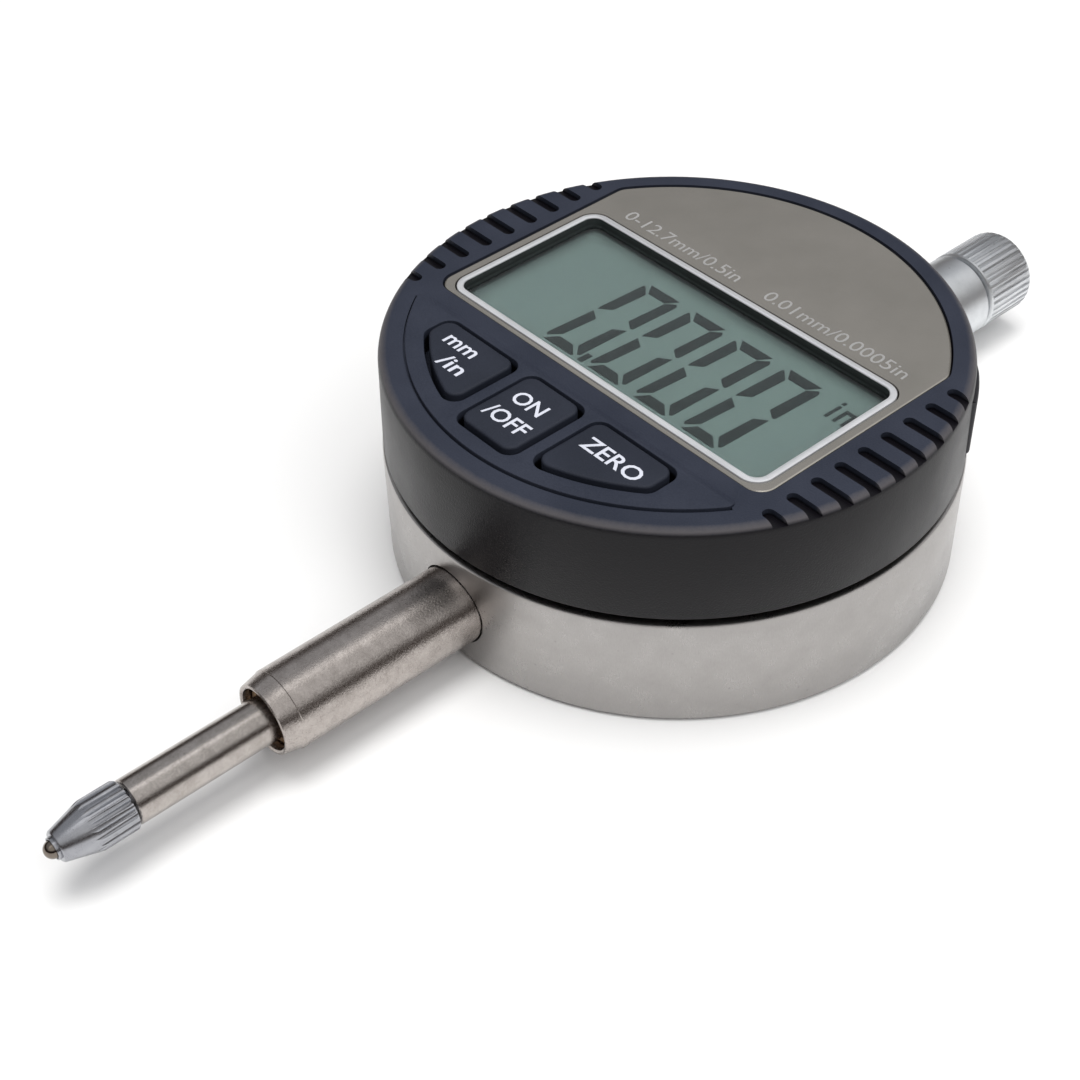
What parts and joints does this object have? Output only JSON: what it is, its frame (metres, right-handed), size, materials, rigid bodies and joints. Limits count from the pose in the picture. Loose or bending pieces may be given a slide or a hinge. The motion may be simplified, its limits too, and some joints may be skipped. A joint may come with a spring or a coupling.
{
  "type": "dial indicator",
  "caption": "Digital dial indicator: round steel case with an 8 mm stem, sprung spindle with ball contact, and a turning LCD head with keys.",
  "frame": {"origin": "centre of the flat back face, on the axis that the display head turns about", "axes": "+Z out of the display face, +Y to 12 o'clock along the stem and spindle axis, so the contact point faces -Y; +X to 3 o'clock"},
  "size_m": [0.0574, 0.1249, 0.0237],
  "materials": {
    "housing_black": "moulded charcoal plastic, fine spark texture, worn at the rim",
    "key_black": null,
    "case_steel": "satin turned steel",
    "stem_steel": "ground steel, fine turning lines",
    "spindle_steel": "ground and polished steel",
    "tip_steel": "plated steel with machined flutes",
    "cap_steel": "knurled satin nickel plating",
    "ball_carbide": "lapped carbide ball",
    "bronze": "reamed bronze bush",
    "plate_taupe": "satin taupe metallic plate with a bright bevelled edge",
    "frame_bright": "bright silver plated frame",
    "window_clear": "clear acrylic",
    "lcd_glass": "grey-green reflective liquid crystal display",
    "board_green": "solder-masked circuit board",
    "part_black": "moulded electronic part",
    "rubber": "conductive or plain elastomer",
    "screw_steel": "plated screw",
    "spring_steel": "drawn spring wire or strip",
    "ribbon_amber": "polyimide flat cable",
    "cell_steel": "nickel-plated cell can"
  },
  "bodies": {
    "case": {"steel_case": "case_steel", "back_cover": "case_steel", "cover_screw_1": "screw_steel", "cover_screw_2": "screw_steel", "cover_screw_3": "screw_steel", "cover_screw_4": "screw_steel", "stem": "stem_steel", "stem_bush": "bronze", "rear_neck": "cap_steel", "rear_bush": "bronze", "dust_cap": "cap_steel", "sensor_board": "board_green", "sensor_screw_1": "screw_steel", "sensor_screw_2": "screw_steel", "guide_rail": "case_steel", "rail_screw_1": "screw_steel", "rail_screw_2": "screw_steel", "spring_post": "screw_steel", "return_spring": "spring_steel", "ribbon_cable": "ribbon_amber"},
    "spindle": {"spindle": "spindle_steel", "contact_point": "tip_steel", "contact_ball": "ball_carbide", "carriage": "case_steel", "clamp_screw_1": "screw_steel", "clamp_screw_2": "screw_steel", "scale_strip": "board_green", "guide_pin": "screw_steel"},
    "head": {"front_housing": "housing_black", "head_base": "housing_black", "head_screw_1": "screw_steel", "head_screw_2": "screw_steel", "head_screw_3": "screw_steel", "snap_ring": "spring_steel", "friction_ring": "rubber", "display_plate": "plate_taupe", "display_frame": "frame_bright", "display_window": "window_clear", "lcd_panel": "lcd_glass", "zebra_strip_1": "rubber", "zebra_strip_2": "rubber", "main_board": "board_green", "board_screw_1": "screw_steel", "board_screw_2": "screw_steel", "controller_chip": "part_black", "key_switch_1": "part_black", "key_switch_2": "part_black", "key_switch_3": "part_black", "top_contact": "spring_steel", "side_contact": "spring_steel"},
    "unit_key": {"unit_key": "key_black"},
    "power_key": {"power_key": "key_black"},
    "zero_key": {"zero_key": "key_black"},
    "battery_drawer": {"battery_drawer": "housing_black", "button_cell": "cell_steel"}
  },
  "joints": [
    {"name": "spindle_slide", "type": "slide", "parent": "case", "child": "spindle", "axis": [0, 1, 0], "range_m": [0, 0.0127], "stiffness_N_per_m": 67, "springref_m": -0.0097, "deforming": ["return_spring"]},
    {"name": "head_turn", "type": "hinge", "parent": "case", "child": "head", "pos_m": [0, 0, 0], "axis": [0, 0, 1], "range_deg": [-135, 135]},
    {"name": "unit_key_press", "type": "slide", "parent": "head", "child": "unit_key", "axis": [0, 0, -1], "range_m": [0, 0.0004], "stiffness_N_per_m": 2500, "springref_m": -0.00024},
    {"name": "power_key_press", "type": "slide", "parent": "head", "child": "power_key", "axis": [0, 0, -1], "range_m": [0, 0.0004], "stiffness_N_per_m": 2500, "springref_m": -0.00024},
    {"name": "zero_key_press", "type": "slide", "parent": "head", "child": "zero_key", "axis": [0, 0, -1], "range_m": [0, 0.0004], "stiffness_N_per_m": 2500, "springref_m": -0.00024},
    {"name": "drawer_slide", "type": "slide", "parent": "head", "child": "battery_drawer", "axis": [0.6428, 0.766, 0], "range_m": [0, 0.016]}
  ]
}
